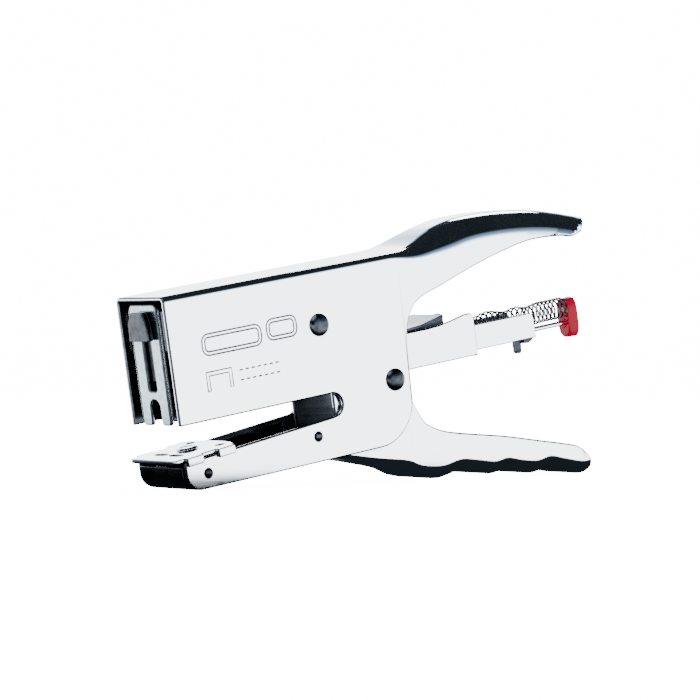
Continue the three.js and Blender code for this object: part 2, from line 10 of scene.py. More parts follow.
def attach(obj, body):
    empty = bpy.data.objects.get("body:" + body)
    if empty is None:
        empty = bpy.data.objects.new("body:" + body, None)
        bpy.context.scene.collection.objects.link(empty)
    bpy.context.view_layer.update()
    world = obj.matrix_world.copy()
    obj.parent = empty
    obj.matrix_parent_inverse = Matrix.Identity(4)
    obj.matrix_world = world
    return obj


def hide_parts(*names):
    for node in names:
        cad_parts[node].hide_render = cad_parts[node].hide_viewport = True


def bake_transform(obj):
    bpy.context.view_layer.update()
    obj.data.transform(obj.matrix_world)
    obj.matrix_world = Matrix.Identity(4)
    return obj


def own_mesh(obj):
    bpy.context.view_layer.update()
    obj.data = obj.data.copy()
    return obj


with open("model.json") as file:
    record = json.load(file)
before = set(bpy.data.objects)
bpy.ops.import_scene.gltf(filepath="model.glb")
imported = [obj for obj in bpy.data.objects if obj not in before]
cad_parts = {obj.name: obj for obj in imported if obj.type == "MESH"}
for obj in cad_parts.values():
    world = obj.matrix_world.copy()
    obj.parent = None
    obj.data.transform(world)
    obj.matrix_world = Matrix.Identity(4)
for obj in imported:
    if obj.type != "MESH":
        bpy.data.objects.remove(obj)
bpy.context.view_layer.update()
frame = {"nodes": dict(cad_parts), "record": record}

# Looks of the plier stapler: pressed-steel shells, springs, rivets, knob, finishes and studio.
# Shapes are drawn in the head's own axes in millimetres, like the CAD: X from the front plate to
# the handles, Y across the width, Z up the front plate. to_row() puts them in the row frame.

NODES = frame["nodes"]
BODY_OF = {n: b for b, names in frame["record"]["behaviour"]["bodies"].items() for n in names}

# ---- Dimensions, in millimetres in the head's axes ---------------------------------------

MM = 0.001
STAND_ANGLE = math.radians(9.06)
ORIGIN = Vector((-73.846133, 0.0, 17.774276))  # the head's origin in the row frame
WIDTH = 24.0  # outside width of the housing
SHEET = 1.2  # thickness of the pressed steel
SHEET_EDGE = 0.5  # rounding of its cut edges
HEAD_TOP = 36.5
HANDLE_END = 162.0
ARM_TOP = -10.3  # the anvil arm's upper edge at its front
ARM_BOTTOM = -18.7
ARM_NOSE = 5  # corner radius of the arm's front
ARM_REAR = (68.6, 13.6)  # centre and radius of the housing's rounded lower rear
THROAT_END = (53.3, -3.3, 3.3)  # centre and radius
HOUSING_FOLD = (1.8, 8.0, 78, 106)  # fold radius of head and handle, and where it changes
LEVER_FOLD = (1.6, 4.0, 62, 92)
PIVOT = (76.5, 0.0)
STOP = (51.9, 20.2)
PINS = ((7.3, -14.4), (46.5, -11.3))
RIVET_HOLE = 2.05
PIN_HOLE = 1.1
LEVER_HALF = 10.5  # outside of the lever's cheeks
LEVER_INNER = 9.3
BUSH_HOLE = 2.7
WEB = ((14, 29), (40, 21.5))  # middle of the web between the lever's arms
TONGUE = (7.4, 15, 5.4)  # from, to, half width
NECK = (-0.4, 8)
NOSE = (1.6, 25.9, 30.5)  # half width, bottom, top
KNOB = (152.8, 156.8, 6.2, 12.4, 5.6)  # front, back, width, height, middle
ROD_Z = 4.1
SPRING_Z = 8.3
SPRING_RADIUS = 2.6
CLAMP = (32, 2.5, 13.7, 22.2)  # clamp spring: x, radius, bottom, top
FACE_PLAY = 0.06  # how far a face may lie off the plane it is looked for in
SHADED_INSIDE, SHADED_EDGE = 1, 2  # a piece's second and third materials: the painted shade of the inside and the painted dark line of the edge

HANDLE_UNDERSIDE = [
    (83, 12), (84.8, 17.2), (89.2, 21.6), (98.2, 24.3), (111.2, 28),
    (122.6, 30.6), (133.9, 32.3), (145.1, 31.9), (150.6, 31), (156.5, 32.2), (162, 33),
]
HANDLE_TOP = [
    (80, 36.5), (87, 36.8), (92, 37.8), (98, 39.8), (104, 41.4), (112, 42.6),
    (122, 42.7), (132, 42), (141, 40.7), (149, 38.9), (156, 37), (164, 34.7),
]
GRIP_TOP = [
    (82, -3), (83.4, -8), (85.9, -13.2), (88.6, -15.9), (94.4, -18.6), (103.6, -21),
    (116.1, -24), (128.6, -27.6), (139.4, -30.7), (143.8, -32.3), (146.9, -34.8), (148.4, -37.6),
    (148, -39.8), (146.2, -41.4),
]
GRIP_BOTTOM = [
    (54.5, -19.4), (62, -21.5), (70, -24.1), (78.5, -27.2), (84, -30.4), (91, -32.2),
    (98.3, -31.6), (104.5, -33), (111, -34.7), (116, -34.5), (121, -36.1), (127, -37.5),
    (132.5, -37.1), (138, -38.9), (144.5, -41), (148, -41.1), (150.5, -40.6),
]

TO_ROW = (
    Matrix.Translation(ORIGIN * MM)
    @ Matrix.Rotation(-STAND_ANGLE, 4, "Y")
    @ Matrix.Scale(MM, 4)
)


def along(x, y, z):
    """A direction of the head's axes, in the row frame."""
    return (TO_ROW.to_3x3() @ Vector((x, y, z))).normalized()


# ---- Curves ------------------------------------------------------------------------------


def spline(points, count):
    """A uniform Catmull-Rom curve through the points, as count + 1 samples."""
    p = np.array(points, float)
    n = len(p) - 1
    found = []
    for k in range(count + 1):
        t = n * k / count
        i = min(int(t), n - 1)
        w = t - i
        a, b, c, d = p[max(i - 1, 0)], p[i], p[i + 1], p[min(i + 2, n)]
        v0, v1 = (c - a) / 2, (d - b) / 2
        cubic = (2 * b - 2 * c + v0 + v1) * w**3 + (-3 * b + 3 * c - 2 * v0 - v1) * w**2
        found.append(cubic + v0 * w + b)
    return found


def arc(cx, cz, radius, start, end, steps=12):
    """Points on a circle from start to end, in degrees."""
    angles = [math.radians(start + (end - start) * i / steps) for i in range(steps + 1)]
    return [(cx + radius * math.cos(a), cz + radius * math.sin(a)) for a in angles]


def smoothstep(x, low, high):
    t = min(max((x - low) / (high - low), 0.0), 1.0)
    return t * t * (3 - 2 * t)


# ---- Meshes ------------------------------------------------------------------------------


def new_object(name, vertices, faces):
    mesh = bpy.data.meshes.new(name)
    mesh.from_pydata([tuple(v) for v in vertices], [], faces)
    mesh.validate()
    found = bpy.data.objects.new(name, mesh)
    bpy.context.scene.collection.objects.link(found)
    work = bmesh.new()
    work.from_mesh(mesh)
    bmesh.ops.recalc_face_normals(work, faces=work.faces)
    work.to_mesh(mesh)
    work.free()
    return found


def loft(name, rings):
    """A closed skin over rings of points, with a flat face at each end."""
    size = len(rings[0])
    vertices = [v for ring in rings for v in ring]
    faces = []
    for r in range(len(rings) - 1):
        a, b = r * size, (r + 1) * size
        for i in range(size):
            j = (i + 1) % size
            faces.append((a + i, a + j, b + j, b + i))
    faces.append(tuple(range(size)))
    faces.append(tuple(range(len(vertices) - size, len(vertices))))
    return new_object(name, vertices, faces)


def prism(name, outline, low, high):
    """A side-view outline of (x, z) points given thickness across the width."""
    near = [(x, low, z) for x, z in outline]
    far = [(x, high, z) for x, z in outline]
    return loft(name, [near, far])


def slab(name, outline, low, high):
    """A plan-view outline of (x, y) points given height."""
    return loft(name, [[(x, y, z) for x, y in outline] for z in (low, high)])


def block(name, x0, x1, y0, y1, z0, z1):
    return prism(name, [(x0, z0), (x1, z0), (x1, z1), (x0, z1)], y0, y1)


def cross_cylinder(name, centre, radius, half, segments=48):
    return prism(name, arc(*centre, radius, 0, 360, segments)[:-1], -half, half)


def bake(obj):
    """Replaces an object's mesh with what its modifiers make of it."""
    bpy.context.view_layer.update()
    evaluated = obj.evaluated_get(bpy.context.evaluated_depsgraph_get())
    mesh = bpy.data.meshes.new_from_object(evaluated)
    obj.modifiers.clear()
    obj.data = mesh
    return obj


def combine(obj, operation, *others):
    for other in others:
        step = obj.modifiers.new("combine", "BOOLEAN")
        step.operation, step.solver, step.object = operation, "EXACT", other
        bake(obj)
        bpy.data.objects.remove(other)
    return obj


def merge(obj, distance=0.03):
    work = bmesh.new()
    work.from_mesh(obj.data)
    bmesh.ops.remove_doubles(work, verts=work.verts, dist=distance)
    bmesh.ops.dissolve_degenerate(work, edges=work.edges, dist=distance)
    work.to_mesh(obj.data)
    work.free()
    return obj


def round_edges(obj, width, segments, angle=38, shaded=True):
    """Rounds the edges. A shaded edge gets a dark material: a painted shade line along the
    rounding, in place of the dark a rounded edge of plated sheet shows.
    """
    step = obj.modifiers.new("round", "BEVEL")
    if shaded:
        while len(obj.data.materials) <= SHADED_EDGE:
            obj.data.materials.append(None)
        step.material = SHADED_EDGE
    step.width, step.segments = width, segments
    step.limit_method, step.angle_limit = "ANGLE", math.radians(angle)
    step.use_clamp_overlap = False
    step.miter_outer = "MITER_ARC"
    return bake(obj)


def smooth(obj, angle=34):
    for face in obj.data.polygons:
        face.use_smooth = True
    obj.data.set_sharp_from_angle(angle=math.radians(angle))
    step = obj.modifiers.new("flat faces stay flat", "WEIGHTED_NORMAL")
    step.keep_sharp, step.weight = True, 90
    return bake(obj)


def tube(name, path, radius, sides, flatten=1.0):
    """A round wire along 3-D points, carried without twist. flatten scales it in Y."""
    p = [Vector(q) for q in path]
    last = len(p) - 1
    tangents = [(p[min(i + 1, last)] - p[max(i - 1, 0)]).normalized() for i in range(last + 1)]
    side = tangents[0].orthogonal().normalized()
    rings = []
    for point, tangent in zip(p, tangents):
        side = (side - tangent * side.dot(tangent)).normalized()
        up = tangent.cross(side)
        ring = []
        for k in range(sides):
            a = 2 * math.pi * k / sides
            offset = (side * math.cos(a) + up * math.sin(a)) * radius
            offset.y *= flatten
            ring.append(point + offset)
        rings.append(ring)
    return smooth(loft(name, rings), 60)


def lathe(name, centre, profile, segments=56):
    """A (radius, y) profile turned about a line across the width."""
    rings = []
    for radius, y in profile:
        circle = arc(*centre, max(radius, 0.001), 0, 360, segments)[:-1]
        rings.append([(x, y, z) for x, z in circle])
    return smooth(loft(name, rings), 40)


# ---- Placing -----------------------------------------------------------------------------


def dress(obj, material):
    """Sets a piece's own material and, where its edges are shaded, the painted shade of the inside
    and the painted dark line of the edge.
    """
    slots = obj.data.materials
    if len(slots) > SHADED_EDGE:
        slots[0], slots[SHADED_INSIDE], slots[SHADED_EDGE] = material, INSIDE_SHADE, EDGE_LINE_SHADE
    else:
        slots.clear()
        slots.append(material)


def place(obj, node, material, body=None):
    """Puts a piece drawn in the head's axes in the row frame, in place of a CAD node."""
    obj.data.transform(TO_ROW)
    dress(obj, material)
    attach(obj, body or BODY_OF[node])
    if node:
        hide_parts(node)
    return obj


def refine(node, material, width, inside):
    """A copy of a CAD node with edges rounded by width, shown in its place. A folded part gets
    painted shade, the dark inside material, on its faces within inside of the middle plane."""
    obj = bpy.data.objects.new(node + "_fine", NODES[node].data.copy())
    bpy.context.scene.collection.objects.link(obj)
    merge(obj, 0.00001)
    work = bmesh.new()
    work.from_mesh(obj.data)
    bmesh.ops.dissolve_limit(
        work, angle_limit=math.radians(1), verts=work.verts, edges=work.edges
    )
    work.to_mesh(obj.data)
    work.free()
    round_edges(obj, width * MM, 2)
    smooth(obj)
    dress(obj, material)
    for face in obj.data.polygons:
        if inside and abs(face.center.y) < (inside + FACE_PLAY) * MM:
            face.material_index = SHADED_INSIDE
    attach(obj, BODY_OF[node])
    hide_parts(node)
    return obj


# ---- Materials ---------------------------------------------------------------------------


class Nodes:
    """A short way to write a node tree."""

    def __init__(self, name):
        self.material = bpy.data.materials.new(name)
        self.material.use_nodes = True
        self.tree = self.material.node_tree
        self.shader = self.tree.nodes["Principled BSDF"]
        self.where = self.add("TexCoord").outputs["Object"]

    def add(self, kind, **values):
        node = self.tree.nodes.new("ShaderNode" + kind)
        for key, value in values.items():
            setattr(node, key, value)
        return node

    def link(self, source, target):
        self.tree.links.new(source, target)

    def noise(self, scale, detail, stretch=(1, 1, 1), turn=0.0):
        """Noise over the piece. stretch squeezes it along the axes to make grain."""
        mapping = self.add("Mapping")
        mapping.inputs["Scale"].default_value = stretch
        mapping.inputs["Rotation"].default_value = (0, turn, 0)
        self.link(self.where, mapping.inputs["Vector"])
        noise = self.add("TexNoise")
        noise.inputs["Scale"].default_value = scale
        noise.inputs["Detail"].default_value = detail
        self.link(mapping.outputs["Vector"], noise.inputs["Vector"])
        return noise.outputs["Fac"]

    def remap(self, value, low, high, start=0.35, end=0.65):
        node = self.add("MapRange")
        limits = {"From Min": start, "From Max": end, "To Min": low, "To Max": high}
        for key, number in limits.items():
            node.inputs[key].default_value = number
        self.link(value, node.inputs["Value"])
        return node.outputs["Result"]

    def ramp(self, value, stops):
        node = self.add("ValToRGB")
        elements = node.color_ramp.elements
        while len(elements) < len(stops):
            elements.new(0.5)
        for element, (position, color) in zip(elements, stops):
            element.position, element.color = position, (*color, 1)
        self.link(value, node.inputs["Fac"])
        return node.outputs["Color"]

    def bump(self, value, distance, strength, below=None):
        node = self.add("Bump")
        node.inputs["Distance"].default_value = distance
        node.inputs["Strength"].default_value = strength
        self.link(value, node.inputs["Height"])
        if below:
            self.link(below, node.inputs["Normal"])
        return node.outputs["Normal"]

    def set(self, **values):
        for key, value in values.items():
            self.shader.inputs[key.replace("_", " ")].default_value = value


def plated_steel():
    """Bright nickel plate on pressed sheet: faint waves, rolling grain, haze, fine scratches."""
    n = Nodes("polished_nickel")
    n.set(Metallic=1.0)
    tint = n.noise(38, 4)
    color = n.ramp(tint, [(0.3, (0.87, 0.895, 0.92)), (0.7, (0.93, 0.945, 0.96))])
    n.link(color, n.shader.inputs["Base Color"])
    grain = n.noise(900, 3, (0.06, 1, 1), STAND_ANGLE)
    smudge = n.noise(70, 5)
    mix = n.add("Math", operation="MULTIPLY")
    n.link(n.remap(grain, 0.9, 1.12), mix.inputs[0])
    n.link(n.remap(smudge, 0.05, 0.10), mix.inputs[1])
    n.link(mix.outputs[0], n.shader.inputs["Roughness"])
    wave = n.bump(n.noise(45, 1), 0.00005, 0.3)
    fine = n.bump(grain, 0.0000015, 0.4, wave)
    scratches = n.remap(n.noise(2600, 2, (0.02, 1, 0.6), -0.4), 0, 1, 0.68, 0.74)
    n.link(n.bump(scratches, 0.000002, 0.4, fine), n.shader.inputs["Normal"])
    return n.material


def rolled_steel(name, dark, light, rough):
    """Plain rolled steel with streaks along its length and stains."""
    n = Nodes(name)
    n.set(Metallic=1.0)
    streaks = n.noise(700, 5, (0.05, 1, 1), STAND_ANGLE)
    n.link(n.ramp(streaks, [(0.3, dark), (0.7, light)]), n.shader.inputs["Base Color"])
    n.link(n.remap(n.noise(160, 5), rough * 0.75, rough * 1.35), n.shader.inputs["Roughness"])
    n.link(n.bump(streaks, 0.00001, 0.5), n.shader.inputs["Normal"])
    return n.material


def turned_steel():
    """Nickel rivet heads, formed by a snap: a little uneven, with pits. Their near-black colour is
    painted shade for the dark the domes show.
    """
    n = Nodes("dark_rivet")
    n.set(Metallic=1.0)
    # Painted shade: a near-black base colour for the dark domes.
    n.link(
        n.ramp(n.noise(500, 4), [(0.35, (0.016, 0.020, 0.024)), (0.65, (0.045, 0.05, 0.058))]),
        n.shader.inputs["Base Color"],
    )
    n.link(n.remap(n.noise(900, 4), 0.12, 0.3), n.shader.inputs["Roughness"])
    uneven = n.bump(n.noise(350, 2), 0.0001, 0.5)
    pits = n.remap(n.noise(2600, 2), 1, 0, 0.66, 0.72)
    n.link(n.bump(pits, 0.00002, 0.6, uneven), n.shader.inputs["Normal"])
    return n.material


def spring_wire():
    """Oiled dark wire with drawing lines and rubbed bright patches."""
    n = Nodes("oiled_wire")
    n.set(Metallic=1.0)
    rubbed = n.noise(420, 4)
    n.link(
        n.ramp(rubbed, [(0.42, (0.012, 0.013, 0.016)), (0.74, (0.14, 0.15, 0.17))]),
        n.shader.inputs["Base Color"],
    )
    n.link(n.remap(n.noise(1500, 3), 0.16, 0.38), n.shader.inputs["Roughness"])
    n.link(n.bump(n.noise(4000, 3, (1, 0.2, 1)), 0.00001, 0.5), n.shader.inputs["Normal"])
    return n.material


def knob_plastic():
    """Glossy red plastic: moulding flow, faint orange peel and handling marks."""
    n = Nodes("red_knob")
    flow = n.noise(260, 3, (1, 1, 0.4))
    color = n.ramp(flow, [(0.3, (0.32, 0.0003, 0.016)), (0.7, (0.42, 0.0006, 0.026))])
    n.link(color, n.shader.inputs["Base Color"])
    n.set(Coat_Weight=0.05, Coat_Roughness=0.08, IOR=1.48)
    n.set(Specular_IOR_Level=0.1, Subsurface_Weight=0.04)
    n.shader.inputs["Subsurface Radius"].default_value = (0.002, 0.0006, 0.0005)
    n.link(n.remap(n.noise(800, 4), 0.18, 0.24), n.shader.inputs["Roughness"])
    peel = n.bump(n.noise(900, 2), 0.00001, 0.3)
    marks = n.remap(n.noise(3000, 2, (1, 0.1, 1)), 0, 1, 0.66, 0.72)
    n.link(n.bump(marks, 0.00001, 0.4, peel), n.shader.inputs["Normal"])
    return n.material


PLATED = plated_steel()
INNER = rolled_steel("rolled_steel", (0.30, 0.32, 0.34), (0.52, 0.54, 0.56), 0.22)
ETCHED = rolled_steel("etched_line", (0.02, 0.024, 0.03), (0.06, 0.066, 0.075), 0.4)
# Painted reflection: the front plate's teal-grey tone stands in for the tinted reflection it shows.
TEAL_REFLECTION_TINT = rolled_steel("teal_painted_reflection", (0.20, 0.255, 0.285), (0.33, 0.40, 0.44), 0.16)
BLUED = rolled_steel("blued_steel", (0.010, 0.012, 0.016), (0.035, 0.040, 0.048), 0.16)
# Painted shade: a dark steel for faces inside hollows, channels and recesses.
INSIDE_SHADE = rolled_steel("painted_shade_inside", (0.035, 0.040, 0.048), (0.085, 0.095, 0.11), 0.26)
BLACKED = rolled_steel("dark_plate", (0.06, 0.068, 0.078), (0.11, 0.12, 0.135), 0.13)
# Painted shade: a dark steel for the rounded faces of shaded edges, a dark line along them.
EDGE_LINE_SHADE = rolled_steel("edge_shade", (0.016, 0.022, 0.028), (0.05, 0.06, 0.07), 0.3)
RIVETS = turned_steel()
WIRE = spring_wire()
RED = knob_plastic()

# ---- Housing: C frame and upper handle ---------------------------------------------------


def folded_section(x, edge, reach, half, radius, side):
    """One section of the folded sheet: a web with rounded folds and two flanges."""

    def outline(outer, fold, web):
        points = [(x, -outer, reach)]
        steps = 9
        for i in range(steps + 1):
            a = i / steps * math.pi / 2
            height = web - side * fold * (1 - math.sin(a))
            points.append((x, -outer + fold * (1 - math.cos(a)), height))
        return points + [(px, -y, z) for px, y, z in reversed(points)]

    inside = outline(half - SHEET, max(radius - SHEET, 0.4), edge - side * SHEET)
    return outline(half, radius, edge) + inside[::-1]


def fold_radius(x, low, high, start, end):
    return low + (high - low) * smoothstep(x, start, end)


def housing_outline():
    """Side view of the C frame and the handle's lower edge, open above the folds."""
    tx, tz, radius = THROAT_END
    rear_x, rear = ARM_REAR
    behind, above = HANDLE_END + 8, HEAD_TOP + 12
    points = [(0, 0), (tx, 0), *arc(tx, tz, radius, 90, -90, 24)[1:], (0, ARM_TOP)]
    points += arc(ARM_NOSE, ARM_BOTTOM + ARM_NOSE, ARM_NOSE, 180, 270, 16)
    points += arc(rear_x, ARM_BOTTOM + rear, rear, 270, 360, 32)
    points.append((82.5, 6))
    points += [tuple(p) for p in spline(HANDLE_UNDERSIDE, 90)]
    return points + [(behind, 33.1), (behind, above), (0, above)]


def inside_housing(body):
    """Gives the faces whose outward side looks into the hollow painted shade: the dark inside
    material.
    """
    half, up = (WIDTH / 2 - SHEET) * MM, along(0, 0, 1)
    for face in body.data.polygons:
        inward = face.normal.y * face.center.y < 0 and abs(face.normal.y) > 0.2
        roof = abs(face.center.y) < half and face.normal.dot(up) < -0.2
        if inward or roof:
            face.material_index = SHADED_INSIDE


def handle_plan():
    """Plan view: full width, and a rounded tip on the handle."""
    end, half = 13, WIDTH / 2
    tip = [(HANDLE_END - end + end * x, half * y) for x, y in arc(0, 0, 1, -90, 90, 48)]
    near = [(-1, -WIDTH), (100, -WIDTH), (100, -half - 1)]
    return near + tip + [(x, -y) for x, y in reversed(near)]


def housing():
    crest = [(-1, HEAD_TOP), *[tuple(p) for p in spline(HANDLE_TOP, 72)]]
    rings = []
    for x, z in crest:
        rings.append(folded_section(x, z, -30, WIDTH / 2, fold_radius(x, *HOUSING_FOLD), 1))
    body = loft("housing_shell", rings)
    combine(body, "INTERSECT", slab("plan", handle_plan(), -40, 60))
    combine(body, "INTERSECT", prism("outline", housing_outline(), -WIDTH, WIDTH))
    for centre in (PIVOT, STOP):
        combine(body, "DIFFERENCE", cross_cylinder("hole", centre, RIVET_HOLE, WIDTH))
    for centre in PINS:
        combine(body, "DIFFERENCE", cross_cylinder("hole", centre, PIN_HOLE, WIDTH, 32))
    merge(body)
    round_edges(body, SHEET_EDGE, 3)
    place(smooth(body), "housing", PLATED)
    inside_housing(body)


# ---- Lower handle ------------------------------------------------------------------------


def lever_outline():
    arms = spline([(14, 31.5), (30, 28), (42, 22.8), (46.8, 18.6), (49.5, 16.9)], 40)
    points = [(3, 32.2), *[tuple(p) for p in arms], (60, 16.4), (70, 12)]
    points += arc(*PIVOT, 5.6, math.degrees(0.9), 0, 16)
    points += [tuple(p) for p in spline(GRIP_TOP, 80)]
    points += [(146.2, -60), (54.5, -60), (54.5, 5.5), (50, 8.5), (20, 17), (3, 20.5)]
    return points


def lower_handle():
    rings = []
    for x, z in spline(GRIP_BOTTOM, 112):
        rings.append(folded_section(x, z, 60, LEVER_HALF, fold_radius(x, *LEVER_FOLD), -1))
    grip = loft("lower_handle_shell", rings)
    combine(grip, "INTERSECT", prism("outline", lever_outline(), -WIDTH, WIDTH))
    arms = prism("arms", lever_outline(), -LEVER_HALF, LEVER_HALF)
    combine(arms, "INTERSECT", block("zone", 0, 60, -WIDTH, WIDTH, 2, 40))
    combine(arms, "DIFFERENCE", block("hollow", -1, 61, -LEVER_INNER, LEVER_INNER, 0, 41))
    thick = SHEET / 2 + 0.1
    (x0, z0), (x1, z1) = WEB
    web = [(x1, z1 - thick), (x1, z1 + thick), (x0, z0 + thick), (x0, z0 - thick)]
    overlap = LEVER_INNER + 0.4
    half, low, high = NOSE
    start, end, wide = TONGUE
    tongue = block("tongue", start, end, -wide, wide, low + 1.6, high - 0.3)
    neck = block("neck", *NECK, -half, half, low, high)
    combine(grip, "UNION", arms, prism("web", web, -overlap, overlap), tongue, neck)
    combine(grip, "DIFFERENCE", cross_cylinder("hole", PIVOT, BUSH_HOLE, WIDTH))
    merge(grip)
    round_edges(grip, SHEET_EDGE, 3)
    place(smooth(grip), "lower_handle", PLATED)
    # Painted shade: faces looking into the hollow, and the upward faces between the cheeks, get the
    # dark inside material.
    for face in grip.data.polygons:
        inward = face.normal.y * face.center.y < 0 and abs(face.normal.y) > 0.2
        lined = abs(face.center.y) < LEVER_INNER * MM and face.normal.dot(along(0, 0, 1)) > 0.2
        if inward or lined:
            face.material_index = SHADED_INSIDE


# ---- Rivets and pins ---------------------------------------------------------------------


def rivet_profile(head, shank, dome, grip):
    """A cap with a small rim, a flat snap mark at its crown, and a straight shank."""
    cap = [(0.0, -grip - dome)]
    crown = 0.18
    for i in range(1, 13):
        a = crown + (math.pi / 2 - crown) * i / 12
        cap.append((head * math.sin(a), -grip - 0.12 - (dome - 0.12) * math.cos(a)))
    cap += [(head, -grip), (shank, -grip)]
    return cap + [(r, -y) for r, y in reversed(cap)]


def rivets():
    for node, centre in (("pivot_rivet", PIVOT), ("stop_rivet", STOP)):
        profile = rivet_profile(3.3, 1.9, 1.4, WIDTH / 2 + 0.05)
        place(lathe(node + "_domed", centre, profile), node, RIVETS)
    for node, centre in zip(("anvil_pin_front", "anvil_pin_rear"), PINS):
        profile = rivet_profile(0.99, 0.985, 0.35, WIDTH / 2)
        place(lathe(node + "_domed", centre, profile, 32), node, RIVETS)


# ---- Springs -----------------------------------------------------------------------------


def hump(x, centre, width, height):
    return height * math.exp(-(((x - centre) / width) ** 2))


def feeder_spring():
    """A long soft coil: open in the rail, arched up behind the magazine, close at the knob."""
    start, end = 15.0, KNOB[0] - 0.3
    path, angle, x = [], 0.0, start
    steps = 14
    while x < end:
        arch = hump(x, 123.5, 5.0, 1.5) + hump(x, 134.5, 3.2, 1.1)
        arch += 0.6 * smoothstep(x, 138, 144)
        pitch = 4.6 - 2.6 * smoothstep(x, 108, 117) - 0.4 * smoothstep(x, 136, 141)
        radius = SPRING_RADIUS + 0.45 * smoothstep(x, 137, 142)
        y = radius * math.cos(angle)
        path.append((x, y, SPRING_Z + arch + radius * math.sin(angle)))
        angle += 2 * math.pi / steps
        x += pitch / steps
    spring = place(tube("feeder_coil", path, 0.3, 7), "feeder_spring", WIRE)
    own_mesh(spring)


def return_spring():
    """Double torsion spring in one wire: rear legs, a coil round the stop rivet on each side, and a
    bar between.
    """
    coil, turns, steps, outer, pitch = 3.9, 3, 16, 8.4, 1.2
    points = [(77.5, outer, -5.1), (68, outer, 2.44), (58, outer, 10.4)]
    start, sweep = math.radians(230.6), turns * 2 * math.pi - math.radians(22.4)
    for i in range(steps * turns + 1):
        share = i / (steps * turns)
        a = start - sweep * share
        y = outer - pitch * turns * share
        points.append((STOP[0] + coil * math.cos(a), y, STOP[1] + coil * math.sin(a)))
    inner = outer - pitch * turns
    points += [(42, inner, 19.16), (32, inner, 22.24)]
    points += [(25.2, inner - 0.1, 24.3), (24, inner - 1.3, 24.7)]
    points += [(x, -y, z) for x, y, z in reversed(points)]
    path = [tuple(p) for p in spline(points, 420)]
    obj = tube("double_torsion_spring", path, 0.55, 8)
    obj.data.transform(TO_ROW)
    obj.data.materials.append(WIRE)
    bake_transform(obj)
    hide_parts("return_spring")


def clamp_spring():
    """A short coil on the magazine, under the lever's web."""
    centre, radius, low, high = CLAMP
    turns, steps = 3, 24
    path = []
    for i in range(turns * steps + 1):
        share = i / (turns * steps)
        a = 2 * math.pi * turns * share
        x, y = centre + radius * math.sin(a), radius * math.cos(a)
        path.append((x, y, low + (high - low) * share))
    spring = place(tube("clamp_coil", path, 0.4, 8), "clamp_spring", WIRE)
    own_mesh(spring)


# ---- Knob --------------------------------------------------------------------------------


def knob():
    """A moulded knob: rounded block with a waist, a crowned outer face and a collar for the rod."""
    front, back, width, height, z = KNOB
    around, squareness = 64, 0.62
    rings = []
    profile = [  # share of the depth, share of the size
        (0.0, 0.72), (0.05, 0.86), (0.16, 0.95), (0.34, 0.97), (0.50, 0.955),
        (0.66, 0.985), (0.82, 1.0), (0.92, 0.955), (0.98, 0.83), (1.0, 0.6),
    ]
    for share, scale in profile:
        x = front + (back - front) * share
        ring = []
        inset = (1 - scale) * width / 2
        for k in range(around):
            a = 2 * math.pi * k / around
            c, s = math.cos(a), math.sin(a)
            y = math.copysign(abs(c) ** squareness, c) * width / 2
            y -= math.copysign(min(abs(y), inset), y)
            h = math.copysign(abs(s) ** squareness, s) * height / 2
            ring.append((x, y, z + h * (1 - inset / (height / 2))))
        rings.append(ring)
    body = loft("moulded_knob", rings)
    circle = arc(0, ROD_Z, 1.5, 0, 360, 32)[:-1]
    collar = loft("collar", [[(x, y, h) for y, h in circle] for x in (front - 0.3, front + 1)])
    combine(body, "UNION", collar)
    merge(body, 0.01)
    round_edges(body, 0.12, 2, 50, shaded=False)
    place(smooth(body, 50), "feeder_knob", RED)


# ---- Side marking: two plain frames, a plain staple outline and two rows of dashes --------


def rounded_frame(x0, x1, z0, z1, radius):
    points = arc(x1 - radius, z1 - radius, radius, 0, 90, 8)
    points += arc(x0 + radius, z1 - radius, radius, 90, 180, 8)
    points += arc(x0 + radius, z0 + radius, radius, 180, 270, 8)
    points += arc(x1 - radius, z0 + radius, radius, 270, 360, 8)
    return points + points[:1]


def side_marking():
    frames, corner = ((11, 31.5, 18, 24), (33.5, 44, 18.6, 24.6)), 2.2
    first, pitch, dash = 22.4, 2.1, 1.2
    lines = []
    for x0, x1, z0, z1 in frames:
        lines += [rounded_frame(x0 + d, x1 - d, z0 + d, z1 - d, corner - d) for d in (0, 1)]
    lines.append([
        (11, 8), (11, 13.4), (19.8, 13.4), (19.8, 8), (18.8, 8), (18.8, 12.3), (12, 12.3),
        (12, 8), (11, 8),
    ])
    for row in (9.4, 12.2):
        for k in range(7):
            x = first + pitch * k
            lines.append([(x, row), (x + dash, row)])
    for k, outline in enumerate(lines):
        path = [(x, -WIDTH / 2, z) for x, z in outline]
        mark = tube(f"side_mark_{k:02d}", path, 0.26, 6, flatten=0.2)
        place(mark, None, ETCHED, "frame")


# ---- Build -------------------------------------------------------------------------------

housing()
lower_handle()
rivets()
feeder_spring()
return_spring()
clamp_spring()
knob()
side_marking()
for node, material, width, inside in (
    ("anvil_channel", BLACKED, 0.2, None), ("anvil_plate", PLATED, 0.3, None),
    ("anvil_rivet", PLATED, 0.16, None), ("stop_bush", INNER, 0.15, None),
    ("pivot_bush", INNER, 0.1, None), ("nose_cap", BLUED, 0.5, None),
    ("magazine_channel", PLATED, 0.38, 6.9), ("front_plate", TEAL_REFLECTION_TINT, 0.45, None),
    ("staple_rail", PLATED, 0.33, 5.2), ("rail_rivet_front", INNER, 0.04, None),
    ("rail_rivet_rear", INNER, 0.04, None), ("magazine_cover", BLUED, 0.14, None),
    ("driver_blade", BLUED, 0.1, None), ("feeder_rod", PLATED, 0.1, None),
    ("rod_catch", BLUED, 0.15, None), ("pusher", BLACKED, 0.15, None),
):
    refine(node, material, width, inside)


